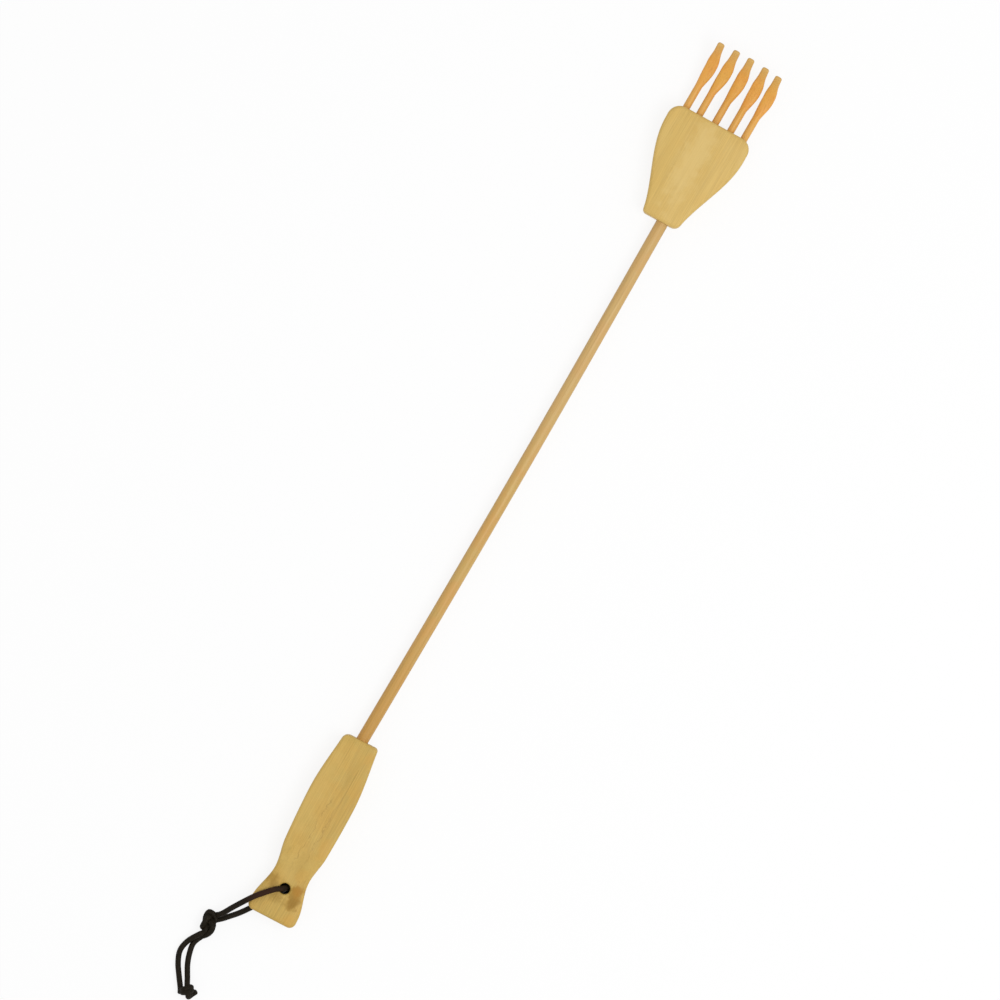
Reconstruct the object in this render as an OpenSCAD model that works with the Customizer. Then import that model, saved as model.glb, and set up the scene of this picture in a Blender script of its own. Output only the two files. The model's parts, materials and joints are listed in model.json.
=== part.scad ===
// Back scratcher: five carved tines in a flared palm, a long round rod,
// a fish-shaped handle and a knotted hanging cord through its tail.
// It lies on its back. +X runs from the tail to the tips, +Z is the front face,
// and the origin is on the ground, under the middle of the wooden pieces.

/* [Boards] */
// Thickness of the boards that the handle and the palm are cut from
board_t = 14; // [12:0.5:18]
// Rounding of the long edges of both boards
edge_round = 1.6; // [0.8:0.1:3]

/* [Handle] */
// Length from the mouth to the tail
handle_len = 95.5; // [85:0.5:120]
// Width at the mouth, where the rod goes in
mouth_w = 17.8; // [14:0.2:20]
// Width at the belly
belly_w = 23.8; // [20:0.2:30]
// Distance of the belly from the mouth
belly_at = 31; // [26:1:38]
// Width where the belly draws in towards the waist
shoulder_w = 22.1; // [19:0.1:23]
// Distance of that place from the tail
shoulder_at = 38; // [33:1:43]
// Width at the waist
waist_w = 18; // [14:0.2:19]
// Distance of the waist from the tail
waist_at = 23.5; // [20:0.5:28]
// Width across the flared tail
tail_w = 25; // [20:0.2:30]
// Distance of the widest place of the tail from its end
tail_at = 5; // [4:0.5:8]
// Rounding of the two corners of the tail
tail_round = 3; // [2:0.25:4]
// Rounding of the rim at the mouth
mouth_round = 1.6; // [0.6:0.1:2.5]
// Angle of the handle to the rod
handle_lean = 2.5; // [0:0.1:4]
// Length of the thin flat part of the tail
tail_flat_len = 22.5; // [20:0.5:26]
// Length over which the board thins towards the tail
tail_thin_run = 16; // [10:1:22]

/* [Cord hole] */
// Diameter of the hole through the tail
hole_d = 5.2; // [4.8:0.1:6]
// Distance of the hole from the end of the tail
hole_at = 16; // [14:0.5:17]
// Easing of the rim of the hole
hole_rim = 0.8; // [0.6:0.1:1.2]

/* [Rod] */
// Diameter of the rod
rod_d = 6; // [5:0.1:8]
// Full length of the rod
rod_len = 331; // [280:1:380]
// Depth of the rod in the handle
rod_in_handle = 25; // [15:0.5:35]
// Depth of the rod in the palm
rod_in_palm = 20; // [12:0.5:25]
// Bevel at both ends of the rod
rod_bevel = 0.6; // [0.2:0.1:1]

/* [Palm] */
// Length from the neck to the front edge
palm_len = 53.5; // [46:0.5:64]
// Width at the neck
neck_w = 18.7; // [14:0.1:22]
// Greatest width
palm_w = 43; // [40:0.2:52]
// Distance from the neck to where the flanks run straight
flank_len = 44; // [36:1:46]
// Slope of each flank at the neck
neck_flare = 0.14; // [0:0.02:0.3]
// Rounding of the two corners beside the tines
palm_corner = 6; // [4:0.25:7]
// Rounding of the corners at the neck
neck_round = 1.8; // [0.6:0.1:2.5]
// Sideways shift of the neck from the rod's axis
head_shift = 1.6; // [0:0.1:2.5]
// Angle of the palm to the rod
head_lean = 1.1; // [0:0.1:3]

/* [Tines] */
// Reach of the tines beyond the front edge, seen from the front
tine_reach = 35; // [30:0.5:42]
// Distance from the middle of the outer tines to the sides of the palm
tine_margin = 5.8; // [4.8:0.1:6.6]
// Sideways shift of the row of tines from the middle of the palm
row_shift = 0.65; // [0:0.05:1]
// Sideways stray of the second tine from its even place
tine_2_stray = -0.5; // [-0.8:0.05:0.8]
// Sideways stray of the fourth tine from its even place
tine_4_stray = 0.7; // [-0.8:0.05:0.8]
// Diameter of the round root
tine_d = 3.6; // [3:0.1:4.5]
// Depth of the peg in the palm
peg_depth = 12; // [8:0.5:15]
// Bevel at the blind end of the peg
peg_bevel = 0.4; // [0.2:0.1:0.8]
// Length of the round root outside the palm
root_len = 13; // [8:0.5:14]
// Width of the blade at its widest place
blade_w = 5.8; // [4.6:0.1:6.4]
// Distance from the palm to where the blade has its full width
blade_at = 22; // [19:0.5:23]
// Length over which it keeps that width
blade_len = 3; // [2:0.5:4]
// Sideways shift of the blade
blade_shift = 0.65; // [0:0.05:0.8]
// Thickness of the blade at its widest place
blade_t = 2.6; // [2:0.1:3.2]
// Width of the finger behind the tip
finger_w = 3.9; // [3.4:0.1:4.6]
// Distance of that place from the palm
finger_at = 32; // [29:0.5:33]
// Width at the tip
tip_w = 3.5; // [2.6:0.1:4]
// Thickness at the tip
tip_t = 1.9; // [1.4:0.1:2.4]
// Sideways shift of the tip, to the other side
tip_shift = 0.25; // [0:0.05:0.6]
// Rounding of the tip
tip_round = 0.9; // [0.5:0.1:1.2]
// Distance from the palm to where the curl starts
curl_at = 14; // [12.5:0.5:18]
// Angle through which the tine curls up
curl = 45; // [25:1:55]

/* [Cord] */
// Diameter of the cord
cord_d = 2.7; // [2:0.1:3]
// Diameter of each half of the knot behind the tail
knot_d = 6.8; // [5.8:0.2:8]
// Length of each half of that knot
knot_len = 6.8; // [5.5:0.1:7.5]
// Diameter of the small knot at the end of the loop
end_knot_d = 6.8; // [5.6:0.2:8]
// Length of the small knot
end_knot_len = 4.6; // [4:0.2:6]

/* [Clearances] */
// Glue film between a peg or rod and the wall of its socket
glue_gap = 0.06; // [0.03:0.01:0.1]
// Glue pocket at the bottom of a socket
glue_pocket = 0.4; // [0.2:0.1:0.8]
// Gap between the cord and the wood
cord_gap = 0.3; // [0.2:0.05:0.5]
// Gap between the cord and the ground
ground_gap = 0.1; // [0.05:0.05:0.3]

/* [Hidden] */
tine_count = 5;
round_steps = 4;
handle_steps = 26;
palm_steps = 18;
tine_steps = 14;
tine_sides = 16;
bore_fn = 48;
cord_sides = 8;

// Places along the length
visible_rod = rod_len - rod_in_handle - rod_in_palm;
overall_len = handle_len + visible_rod + palm_len + tine_reach;
mid_z = board_t/2;
mouth_x = handle_len - overall_len/2;
neck_x = mouth_x + visible_rod;

// The head leans to one side, so the rod stands off the middle line by half of that
rod_y = -head_shift - (flank_len + palm_len - palm_corner)/2*sin(head_lean);

// The tail is thinned by as much as the cord behind it needs
tail_cut = cord_d + cord_gap + ground_gap;
tail_t = board_t - 2*tail_cut;
thin_end = handle_len - tail_flat_len;
thin_start = thin_end - tail_thin_run;
tail_edge_round = edge_round*0.8;
// Largest rounding of a board's edge, as a share of half its thickness
most_round = 0.75;

// Handle outline: distance from the mouth and full width
handle_outline = [
  [0, mouth_w],
  [belly_at, belly_w],
  [handle_len - shoulder_at, shoulder_w],
  [handle_len - waist_at, waist_w],
  [handle_len - tail_at, tail_w],
  [handle_len, tail_w]
];
hole_from_mouth = handle_len - hole_at;
hole_x = mouth_x - hole_from_mouth*cos(handle_lean);
hole_y = rod_y - hole_from_mouth*sin(handle_lean);

// Tine: its curl, and its sizes along its own length
curl_r = (tine_reach - curl_at)/sin(curl);
tine_run = curl_at + curl_r*curl*PI/180;
root_step = 1;
root_end_d = tine_d*0.97;
tine_pitch = (palm_w - 2*tine_margin)/(tine_count - 1);
tine_stray = [0, tine_2_stray, 0, tine_4_stray, 0];
tine_widths = [
  [root_len, root_end_d],
  [blade_at, blade_w],
  [blade_at + blade_len, blade_w],
  [finger_at, finger_w],
  [tine_run, tip_w]
];
tine_thick = [
  [root_len, root_end_d],
  [blade_at, blade_t],
  [tine_run, tip_t]
];
tine_shifts = [
  [root_len, 0],
  [blade_at, -blade_shift],
  [finger_at, 0],
  [tine_run, tip_shift]
];
// Squareness of the section: 2 is round, more is flatter with rounded edges
tine_squares = [
  [root_len, 2],
  [blade_at, 2.8],
  [tine_run, 3.2]
];

// Cord: it turns in the hole on a half circle, and each strand then follows its own route.
// Routes are distances from the middle of the hole, with the height above the ground.
turn_r = tail_t/2 + cord_gap + cord_d/2;
turn_slack = hole_d/2 - cord_d/2 - cord_gap;
front_heading = 126;
back_heading = 151;
turn_heading = (front_heading + back_heading)/2;
top_z = mid_z + turn_r;
low_z = cord_d/2 + ground_gap;
knot_lift = 0.3;
knot_press = 0.7;
knot_place = [-32.2, 23, knot_d/2 + knot_lift];
knot_heading = 206;
knot_step = knot_len - knot_press;
end_knot_place = [-66.4, 16, end_knot_d/2 + knot_lift];
end_knot_heading = 218;
front_route = [
  [-6, 7.1, top_z], [-10.4, 10.8, top_z], [-15.4, 14.1, top_z - 0.8],
  [-20.4, 17.1, 9], [-25, 19.7, 6.2], [-30.3, 22.4, 5]
];
back_route = [
  [-11, 6.1, low_z], [-16.2, 9.3, low_z], [-21.2, 12.8, low_z + 0.2],
  [-26, 16.7, 2.4], [-31.8, 21, 2.7]
];
left_route = [
  [-34.4, 22.8, 5], [-39.7, 24.6, 4.7], [-45.2, 27.7, 2.7], [-51, 28.5, low_z + 0.1],
  [-56.6, 26.2, low_z], [-61.9, 22.8, 1.8], [-66.5, 19.4, 2.4], [-69.1, 18, 2]
];
right_route = [
  [-35.2, 21.2, 2.6], [-40.2, 22.9, 1.9], [-44.9, 24.6, low_z], [-50, 23.9, low_z],
  [-55.2, 22, low_z], [-60.8, 18.8, 2.4], [-65.4, 16.1, 3.6]
];

// Curves and outlines

function cubic(t, a, b, slope_a, slope_b) =
  pow(1 - t, 2)*((1 + 2*t)*a + t*slope_a) + t*t*((3 - 2*t)*b - (1 - t)*slope_b);

function rise(list, i) = (list[i + 1][1] - list[i][1])/(list[i + 1][0] - list[i][0]);

// Slope at a listed place: level where the curve turns, and never overshooting between places
function slope(list, i) =
  i == 0 ? rise(list, 0)
  : i == len(list) - 1 ? rise(list, i - 1)
  : let (a = rise(list, i - 1), b = rise(list, i)) a*b <= 0 ? 0 : 2*a*b/(a + b);

function piece_of(list, x, i = 0) =
  i >= len(list) - 2 || x <= list[i + 1][0] ? i : piece_of(list, x, i + 1);

// Smooth value at x through a list of [place, value]
function curve(list, x) =
  let (
    i = piece_of(list, x),
    span = list[i + 1][0] - list[i][0],
    t = min(1, max(0, (x - list[i][0])/span))
  )
  cubic(t, list[i][1], list[i + 1][1], slope(list, i)*span, slope(list, i + 1)*span);

// How far a rounded end draws in at a distance from that end
function drawn_in(distance, radius) =
  distance >= radius ? 0 : radius - sqrt(radius*radius - pow(radius - distance, 2));

// Places along a piece of a given length: close together in the rounded ends, even between
function places(length, first_round, last_round, steps) = [
  for (i = [0:round_steps]) first_round*(1 - cos(90*i/round_steps)),
  for (i = [1:steps - 1]) first_round + (length - first_round - last_round)*i/steps,
  for (i = [round_steps:-1:0]) length - last_round*(1 - cos(90*i/round_steps))
];

// Rounded rectangle across the X axis, from half its width and half its thickness
function board_ring(x, half_w, half_t, radius) = [
  for (corner = [0:3], i = [0:round_steps])
    let (
      angle = 90*corner + 90*i/round_steps,
      side = corner == 0 || corner == 3 ? 1 : -1,
      top = corner < 2 ? 1 : -1
    )
    [x, side*(half_w - radius) + radius*cos(angle), top*(half_t - radius) + radius*sin(angle)]
];

// Closed solid through rings that all have the same number of points
module loft(rings) {
  count = len(rings[0]);
  last = (len(rings) - 1)*count;
  points = [for (ring = rings) each ring];
  walls = [
    for (r = [0:len(rings) - 2], i = [0:count - 1], half = [0, 1])
      let (a = r*count + i, b = r*count + (i + 1) % count)
      half == 0 ? [a, b + count, b] : [a, a + count, b + count]
  ];
  caps = [
    for (i = [1:count - 2], cap = [0, 1])
      cap == 0 ? [0, i, i + 1] : [last, last + i + 1, last + i]
  ];
  polyhedron(points, concat(walls, caps), convexity = 4);
}

// Turned stick along +X with bevelled ends
module stick(length, diameter, first_bevel, last_bevel) {
  r = diameter/2;
  rotate([90, 0, 90])
    rotate_extrude($fn = bore_fn)
      polygon([
        [0, 0], [r - first_bevel, 0], [r, first_bevel],
        [r, length - last_bevel], [r - last_bevel, length], [0, length]
      ]);
}

// Handle

function handle_thickness(u) =
  u <= thin_start ? board_t
  : u >= thin_end ? tail_t
  : cubic((u - thin_start)/tail_thin_run, board_t, tail_t, 0, 0);

function handle_ring(u) =
  let (
    tail_gap = handle_len - u,
    half_w = curve(handle_outline, u)/2 - drawn_in(u, mouth_round) - drawn_in(tail_gap, tail_round),
    half_t = handle_thickness(u)/2 - drawn_in(u, mouth_round) - drawn_in(tail_gap, tail_edge_round)
  )
  board_ring(-u, half_w, half_t, min(edge_round, half_t*most_round));

module cord_hole() {
  wide = hole_d/2 + hole_rim + 1;
  rotate_extrude($fn = bore_fn)
    polygon([
      [0, -tail_t/2 - 1], [wide, -tail_t/2 - 1], [hole_d/2, hole_rim - tail_t/2],
      [hole_d/2, tail_t/2 - hole_rim], [wide, tail_t/2 + 1], [0, tail_t/2 + 1]
    ]);
}

module handle() {
  socket_len = rod_in_handle + glue_pocket;
  overrun = 2;
  color([0.80, 0.67, 0.40])
    difference() {
      translate([mouth_x, rod_y, mid_z])
        rotate([0, 0, handle_lean])
          loft([for (u = places(handle_len, mouth_round, tail_round, handle_steps)) handle_ring(u)]);
      translate([mouth_x - socket_len, rod_y, mid_z])
        stick(socket_len + overrun, rod_d + 2*glue_gap, rod_bevel, 0);
      translate([hole_x, hole_y, mid_z])
        cord_hole();
    }
}

// Rod

module rod() {
  color([0.81, 0.66, 0.43])
    translate([mouth_x - rod_in_handle, rod_y, mid_z])
      stick(rod_len, rod_d, rod_bevel, rod_bevel);
}

// Palm and tines share the palm's own axis

module on_palm() {
  translate([neck_x, rod_y + head_shift, mid_z])
    rotate([0, 0, head_lean])
      children();
}

// Root of a tine on the front edge of the palm: the tines run parallel with the rod
module at_tine(i) {
  on_palm()
    translate([palm_len, (i - (tine_count + 1)/2)*tine_pitch + tine_stray[i - 1] - row_shift, 0])
      rotate([0, 0, -head_lean])
        children();
}

function palm_half_w(u) =
  u >= flank_len ? palm_w/2
  : cubic(u/flank_len, neck_w/2, palm_w/2, neck_flare*flank_len, 0);

function palm_ring(u) =
  let (
    front_gap = palm_len - u,
    half_w = palm_half_w(u) - drawn_in(u, neck_round) - drawn_in(front_gap, palm_corner),
    half_t = mid_z - drawn_in(u, neck_round) - drawn_in(front_gap, edge_round)
  )
  board_ring(u, half_w, half_t, min(edge_round, half_t*most_round));

module palm() {
  socket_len = rod_in_palm + glue_pocket;
  overrun = 2;
  color([0.84, 0.72, 0.46])
    difference() {
      on_palm()
        loft([for (u = places(palm_len, neck_round, palm_corner, palm_steps)) palm_ring(palm_len - u)]);
      translate([neck_x - overrun, rod_y, mid_z])
        stick(socket_len + overrun, rod_d + 2*glue_gap, 0, rod_bevel);
      for (i = [1:tine_count])
        at_tine(i)
          translate([-peg_depth - glue_pocket, 0, 0])
            stick(peg_depth + glue_pocket + overrun, tine_d + 2*glue_gap, peg_bevel, 0);
    }
}

function squared(part, square) = sign(part)*pow(abs(part), 2/square);

// One ring of a tine at a distance along its curled length
function tine_ring(run) =
  let (
    bend = run <= curl_at ? 0 : (run - curl_at)/curl_r*180/PI,
    x = min(run, curl_at) + curl_r*sin(bend),
    z = curl_r*(1 - cos(bend)),
    tip_gap = tine_run - run,
    half_w = curve(tine_widths, run)/2 - drawn_in(tip_gap, tip_round),
    half_t = curve(tine_thick, run)/2 - drawn_in(tip_gap, tip_round)*tip_t/tip_w,
    shift = curve(tine_shifts, run),
    square = curve(tine_squares, run)
  )
  [
    for (i = [0:tine_sides - 1])
      let (
        angle = 360*i/tine_sides,
        up = half_t*squared(sin(angle), square),
        side = half_w*squared(cos(angle), square)
      )
      [x - up*sin(bend), shift + side, z + up*cos(bend)]
  ];

module tine(i) {
  loft_start = root_len - root_step;
  loft_len = tine_run - loft_start;
  color([0.88, 0.64, 0.31])
    at_tine(i) {
      translate([-peg_depth, 0, 0])
        stick(peg_depth + root_len, tine_d, peg_bevel, 0);
      loft([for (run = places(loft_len, root_step, tip_round, tine_steps)) tine_ring(loft_start + run)]);
    }
}

// Cord

function unit(v) = v/norm(v);

// Quarter circle of the turn in the hole, from its middle out to one face
function turn(heading, up) = [
  for (angle = [0, 45, 90])
    let (out = turn_r*(1 - cos(angle)))
    [
      out*cos(heading) - turn_slack*cos(turn_heading),
      out*sin(heading) - turn_slack*sin(turn_heading),
      mid_z + up*turn_r*sin(angle)
    ]
];

// Point of a smooth line through a route, t of the way from point i to the next
function along(route, i, t) =
  let (
    last = len(route) - 1,
    a = route[max(0, i - 1)],
    b = route[i],
    c = route[min(last, i + 1)],
    d = route[min(last, i + 2)]
  )
  b + t*((c - a) + t*((2*a - 5*b + 4*c - d) + t*(3*b - 3*c + d - a)))/2;

function smooth(route) = concat(
  [for (i = [0:len(route) - 2], t = [0, 0.5]) along(route, i, t)],
  [route[len(route) - 1]]
);

function headings(line) = [
  for (i = [0:len(line) - 1]) unit(line[min(len(line) - 1, i + 1)] - line[max(0, i - 1)])
];

// Side direction at each point, carried along without twist
function sides(aim, first) = [
  for (i = 0, side = first; i < len(aim); i = i + 1,
       side = i < len(aim) ? unit(side - (side*aim[i])*aim[i]) : side) side
];

// Tube along a route, first_aim and first_side setting its first end
module tube(route, first_aim, first_side) {
  line = smooth(route);
  found = headings(line);
  aim = [for (i = [0:len(line) - 1]) i == 0 ? first_aim : found[i]];
  side = sides(aim, first_side);
  translate([hole_x, hole_y, 0])
    loft([
      for (p = [0:len(line) - 1])
        let (up = cross(aim[p], side[p]))
        [
          for (i = [0:cord_sides - 1])
            let (angle = 360*(i + 0.5)/cord_sides)
            line[p] + cord_d/2*(cos(angle)*side[p] + sin(angle)*up)
        ]
    ]);
}

// Strand that comes out of the hole
module hole_strand(heading, up, route) {
  color([0.18, 0.14, 0.11])
    tube(concat(turn(heading, up), route), [0, 0, up], [-sin(heading), cos(heading), 0]);
}

// Strand of the hanging loop
module loop_strand(route) {
  aim = unit(route[1] - route[0]);
  color([0.18, 0.14, 0.11])
    tube(route, aim, unit(cross([0, 0, 1], aim)));
}

// Barrel of wound cord, its ends rounded by the cord's own radius
module barrel(place, heading, diameter, length) {
  r = cord_d/2;
  translate([hole_x, hole_y, 0] + place)
    rotate([90, 0, heading + 90])
      translate([0, 0, -length/2])
        rotate_extrude($fn = bore_fn)
          polygon(concat(
            [[0, 0]],
            [for (i = [0:6]) [diameter/2 - r + r*sin(15*i), r - r*cos(15*i)]],
            [for (i = [0:6]) [diameter/2 - r + r*cos(15*i), length - r + r*sin(15*i)]],
            [[0, length]]
          ));
}

module cord_front_strand() {
  hole_strand(front_heading, 1, front_route);
}

module cord_back_strand() {
  hole_strand(back_heading, -1, back_route);
}

module cord_knot() {
  half_step = knot_step/2*[cos(knot_heading), sin(knot_heading), 0];
  color([0.17, 0.13, 0.10]) {
    barrel(knot_place - half_step, knot_heading, knot_d, knot_len);
    barrel(knot_place + half_step, knot_heading, knot_d, knot_len);
  }
}

module loop_left_strand() {
  loop_strand(left_route);
}

module loop_right_strand() {
  loop_strand(right_route);
}

module cord_end_knot() {
  color([0.17, 0.13, 0.10])
    barrel(end_knot_place, end_knot_heading, end_knot_d, end_knot_len);
}

handle();
rod();
palm();
for (i = [1:tine_count]) {
  tine(i);
}
cord_front_strand();
cord_back_strand();
cord_knot();
loop_left_strand();
loop_right_strand();
cord_end_knot();
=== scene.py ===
import json
import math

import bmesh
import bpy
from mathutils import Matrix, Vector


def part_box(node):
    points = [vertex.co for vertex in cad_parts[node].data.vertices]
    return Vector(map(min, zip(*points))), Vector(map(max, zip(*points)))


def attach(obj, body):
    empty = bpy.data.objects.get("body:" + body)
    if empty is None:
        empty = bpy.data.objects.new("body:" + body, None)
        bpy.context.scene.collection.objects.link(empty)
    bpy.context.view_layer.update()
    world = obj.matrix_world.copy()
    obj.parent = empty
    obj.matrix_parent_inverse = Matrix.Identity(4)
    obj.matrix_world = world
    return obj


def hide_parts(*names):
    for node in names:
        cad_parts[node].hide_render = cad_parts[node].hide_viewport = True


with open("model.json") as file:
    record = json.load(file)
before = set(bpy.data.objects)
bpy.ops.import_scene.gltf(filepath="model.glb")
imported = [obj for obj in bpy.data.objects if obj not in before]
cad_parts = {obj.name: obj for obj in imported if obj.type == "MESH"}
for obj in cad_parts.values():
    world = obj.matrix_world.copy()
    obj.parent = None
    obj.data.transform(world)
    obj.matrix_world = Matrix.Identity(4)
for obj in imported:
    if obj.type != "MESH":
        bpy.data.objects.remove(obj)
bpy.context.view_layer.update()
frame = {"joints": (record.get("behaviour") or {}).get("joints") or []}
scene = bpy.context.scene
scene.view_settings.view_transform = "Standard"

mm = 0.001
forward = Vector((1, 0, 0))     # from the handle to the tines
upward = Vector((0, 0, 1))
rodLow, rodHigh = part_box("rod")
rodMiddle = (rodLow + rodHigh)/2
holePlace = Vector(frame["joints"][0]["pos_m"])
holeGround = Vector((holePlace.x, holePlace.y, 0))
print("frame loaded, hole of the cord at", [round(c, 5) for c in holePlace])


# camera

cameraSetup = {
    "middle": (-6.9, -1.83),    # point under the middle of the picture, mm
    "height": 3988.3,
    "turn": -59.9,              # the rod runs up to the right
    "lens": 300,
    "sensor": 36,
}

cameraData = bpy.data.cameras.new("camera")
cameraData.lens = cameraSetup["lens"]
cameraData.sensor_width = cameraSetup["sensor"]
camera = bpy.data.objects.new("camera", cameraData)
camera.location = Vector((*cameraSetup["middle"], cameraSetup["height"]))*mm
camera.rotation_euler = (0, 0, math.radians(cameraSetup["turn"]))
scene.collection.objects.link(camera)
scene.camera = camera
print("camera set")


# tools that several pieces share

def clamped(share):
    return min(1, max(0, share))


def smoothAt(stops, x):
    # value at x on a smooth line through (place, value) stops, level where it turns
    rises = [(b[1] - a[1])/(b[0] - a[0]) for a, b in zip(stops, stops[1:])]
    inner = [0 if a*b <= 0 else 2*a*b/(a + b) for a, b in zip(rises, rises[1:])]
    slopes = [rises[0], *inner, rises[-1]]
    i = 0
    while i < len(stops) - 2 and x > stops[i + 1][0]:
        i += 1
    (x0, y0), (x1, y1) = stops[i], stops[i + 1]
    span = x1 - x0
    t = clamped((x - x0)/span)
    start = (1 - t)**2*((1 + 2*t)*y0 + t*slopes[i]*span)
    return start + t*t*((3 - 2*t)*y1 - (1 - t)*slopes[i + 1]*span)


def drawnIn(distance, radius):
    # how far a rounded end draws in at a distance from that end
    if distance >= radius:
        return 0
    return radius - math.sqrt(radius**2 - (radius - distance)**2)


def startRing(bm, onCircle, sides):
    # circle that gets pulled along a piece; a layer keeps where each vertex is on it
    ring = bmesh.ops.create_circle(bm, segments=sides, radius=1.0)["verts"]
    for v in ring:
        v[onCircle] = v.co
    return ring


def ringEdges(ring):
    inRing = set(ring)
    return list(dict.fromkeys(e for v in ring for e in v.link_edges if e.other_vert(v) in inRing))


def pullRing(bm, ring):
    grown = bmesh.ops.extrude_edge_only(bm, edges=ringEdges(ring))["geom"]
    return [g for g in grown if isinstance(g, bmesh.types.BMVert)]


def closeEnds(bm, *rings):
    for ring in rings:
        bmesh.ops.edgeloop_fill(bm, edges=ringEdges(ring))


def carryFrames(line):
    # each point of a line with its side and up, carried along without twist
    askew = Vector((0.13, 0.21, 0.97))      # no line starts along this
    frames = []
    side = None
    for i, point in enumerate(line):
        aim = (line[min(i + 1, len(line) - 1)] - line[max(i - 1, 0)]).normalized()
        if side is None:
            side = aim.cross(askew).normalized()
        side = (side - side.dot(aim)*aim).normalized()
        frames.append((point, side, aim.cross(side)))
    return frames


def meshObject(name, bm):
    mesh = bpy.data.meshes.new(name)
    bm.to_mesh(mesh)
    bm.free()
    made = bpy.data.objects.new(name, mesh)
    scene.collection.objects.link(made)
    return made


def finishPiece(name, bm, material, body, node, smoothAngle):
    bmesh.ops.recalc_face_normals(bm, faces=bm.faces)
    piece = meshObject(name, bm)
    piece.data.materials.append(material)
    piece.data.shade_smooth()
    piece.data.set_sharp_from_angle(angle=math.radians(smoothAngle))
    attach(piece, body)
    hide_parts(node)
    return piece


# shader nodes and groups

def newGroup(name, inputs, outputs):
    group = bpy.data.node_groups.new(name, "ShaderNodeTree")
    for label, kind in inputs:
        group.interface.new_socket(label, in_out="INPUT", socket_type="NodeSocket" + kind)
    for label, kind in outputs:
        group.interface.new_socket(label, in_out="OUTPUT", socket_type="NodeSocket" + kind)
    return group, group.nodes.new("NodeGroupInput"), group.nodes.new("NodeGroupOutput")


def setSocket(tree, socket, value):
    # another node's output is linked to the socket, a value goes on it
    if isinstance(value, bpy.types.NodeSocket):
        tree.links.new(value, socket)
    elif socket.type == "RGBA":
        socket.default_value = (*value, 1)
    else:
        socket.default_value = value


def mathNode(tree, operation, *values):
    node = tree.nodes.new("ShaderNodeMath")
    node.operation = operation
    for socket, value in zip(node.inputs, values):
        setSocket(tree, socket, value)
    return node.outputs[0]


def vectorNode(tree, operation, *values):
    node = tree.nodes.new("ShaderNodeVectorMath")
    node.operation = operation
    for socket, value in zip(node.inputs, values):
        setSocket(tree, socket, value)
    return node.outputs["Value" if operation == "LENGTH" else "Vector"]


def splitNode(tree, vector):
    node = tree.nodes.new("ShaderNodeSeparateXYZ")
    tree.links.new(vector, node.inputs[0])
    return node.outputs


def noiseNode(tree, place, scale, detail=2.0, roughness=0.5):
    node = tree.nodes.new("ShaderNodeTexNoise")
    setSocket(tree, node.inputs["Vector"], place)
    node.inputs["Scale"].default_value = scale
    node.inputs["Detail"].default_value = detail
    node.inputs["Roughness"].default_value = roughness
    return node.outputs


def rangeNode(tree, value, low, high, toLow=0.0, toHigh=1.0):
    node = tree.nodes.new("ShaderNodeMapRange")
    node.interpolation_type = "SMOOTHSTEP"
    for socket, given in zip(node.inputs, (value, low, high, toLow, toHigh)):
        setSocket(tree, socket, given)
    return node.outputs["Result"]


def mixNode(tree, amount, first, second, blend="MIX"):
    node = tree.nodes.new("ShaderNodeMix")
    node.data_type = "RGBA"
    node.blend_type = blend
    setSocket(tree, node.inputs["Factor"], amount)
    setSocket(tree, node.inputs["A"], first)
    setSocket(tree, node.inputs["B"], second)
    return node.outputs["Result"]


def tinted(tree, colour, tint, mask, amount):
    # the colour goes this far to the tint where the mask is full
    return mixNode(tree, mathNode(tree, "MULTIPLY", mask, amount), colour, tint)


def placeGroup(tree, group, **values):
    node = tree.nodes.new("ShaderNodeGroup")
    node.node_tree = group
    for label, value in values.items():
        setSocket(tree, node.inputs[label], value)
    return node.outputs


# what the grain is made of: how often it changes along and across the bent grain,
# the detail and roughness of its noise, and the noise at which there is none and all of it
grainParts = {
    "Tone": (1.0, 1.0, 3.0, 0.5, 0.25, 0.75),
    "Line": (1.0, 5.0, 3.0, 0.6, 0.50, 0.72),
    "Pore": (5.0, 13.0, 1.0, 0.5, 0.66, 0.76),
    "Fibre": (2.5, 30.0, 2.0, 0.6, 0.25, 0.75),
}


def makeGrainGroup():
    # grain drawn out along the piece and bent a little, and blotches that don't follow it
    group, given, put = newGroup(
        "woodGrain",
        [("Place", "Vector"), ("Stretch", "Vector"), ("Wave", "Float")],
        [(label, "Float") for label in (*grainParts, "Blotch", "Height")])
    place = given.outputs["Place"]
    drawn = vectorNode(group, "MULTIPLY", place, given.outputs["Stretch"])
    sway = noiseNode(group, drawn, scale=0.35, detail=1.0)["Color"]
    swayed = vectorNode(group, "SUBTRACT", sway, (0.5, 0.5, 0.5))
    swing = vectorNode(group, "SCALE", swayed)
    setSocket(group, swing.node.inputs["Scale"], given.outputs["Wave"])
    bent = vectorNode(group, "ADD", drawn, swing)
    masks = {}
    for label, (along, across, detail, roughness, none, full) in grainParts.items():
        pulled = vectorNode(group, "MULTIPLY", bent, (along, across, across))
        noise = noiseNode(group, pulled, 1.0, detail, roughness)["Fac"]
        masks[label] = rangeNode(group, noise, none, full)
    blotch = noiseNode(group, place, scale=95.0, detail=4.0, roughness=0.6)["Fac"]
    masks["Blotch"] = rangeNode(group, blotch, 0.34, 0.68)
    depth = mathNode(group, "ADD", masks["Line"], masks["Pore"])
    masks["Height"] = mathNode(group, "SUBTRACT", 1.0, depth)
    for label, mask in masks.items():
        group.links.new(mask, put.inputs[label])
    return group


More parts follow.
